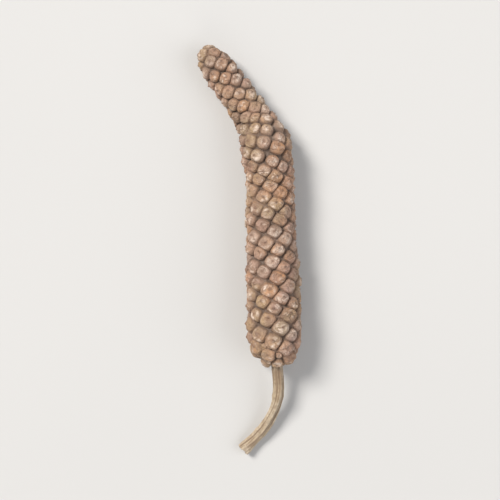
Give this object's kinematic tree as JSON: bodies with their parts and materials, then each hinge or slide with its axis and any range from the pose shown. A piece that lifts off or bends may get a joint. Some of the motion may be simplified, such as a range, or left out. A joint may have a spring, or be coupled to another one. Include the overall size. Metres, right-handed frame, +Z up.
{
  "type": "long pepper",
  "caption": "Dried long pepper: a tapering, bent fruit spike closely covered in small round berries, with a slender curved stalk, lying on its side.",
  "frame": {"origin": "on the surface that the pepper lies on, under the middle of its box", "axes": "+Z up; +Y from the stalk towards the spike's tip, which bends to -X"},
  "size_m": [0.0123, 0.0478, 0.0064],
  "materials": {
    "berries": "dry, matt and dusty: warm brown berries with pale worn tops and dark crevices",
    "stalk": "dry, fibrous and straw-coloured, with lengthwise ridges"
  },
  "bodies": {
    "root": {"fruit_spike": "berries", "stalk": "stalk"}
  },
  "joints": []
}
